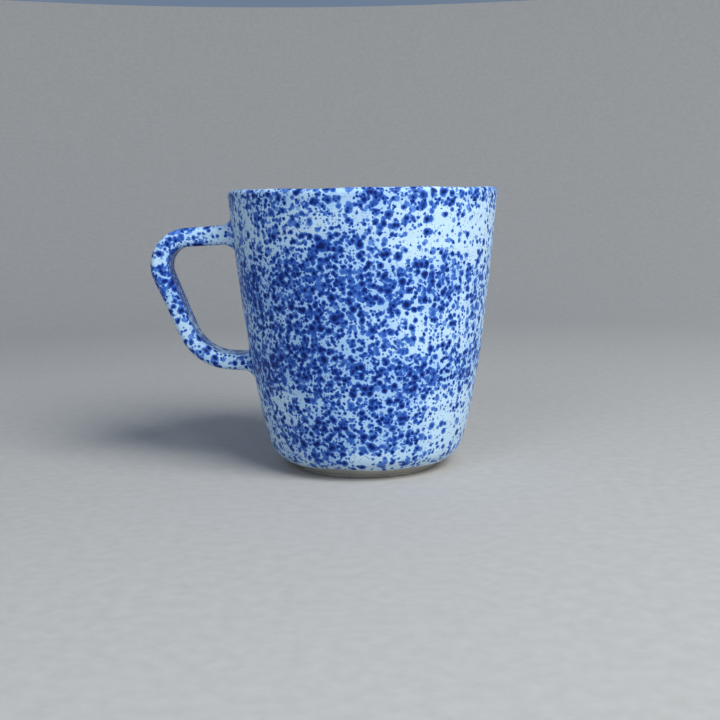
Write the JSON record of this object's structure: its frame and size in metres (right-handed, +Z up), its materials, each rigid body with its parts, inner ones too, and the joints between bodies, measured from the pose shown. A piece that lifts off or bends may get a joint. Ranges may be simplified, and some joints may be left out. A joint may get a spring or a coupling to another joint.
{
  "type": "ceramic mug",
  "caption": "Hand-thrown tapered ceramic mug with an angular strap handle, blue-spattered glaze over clay and a bare bevelled foot.",
  "frame": {"origin": "centre of the flat foot, on the surface that the mug stands on", "axes": "+Z up along the mug's axis, handle towards -X"},
  "size_m": [0.1134, 0.088, 0.0916],
  "materials": {
    "bare_clay": "matte",
    "luting_clay": "matte",
    "spattered_glaze": "satin",
    "liner_glaze": "gloss"
  },
  "bodies": {
    "root": {"mug_body": "bare_clay", "handle": "bare_clay", "upper_slip_joint": "luting_clay", "lower_slip_joint": "luting_clay", "outer_glaze": "spattered_glaze", "inner_glaze": "liner_glaze", "handle_glaze": "spattered_glaze"}
  },
  "joints": []
}
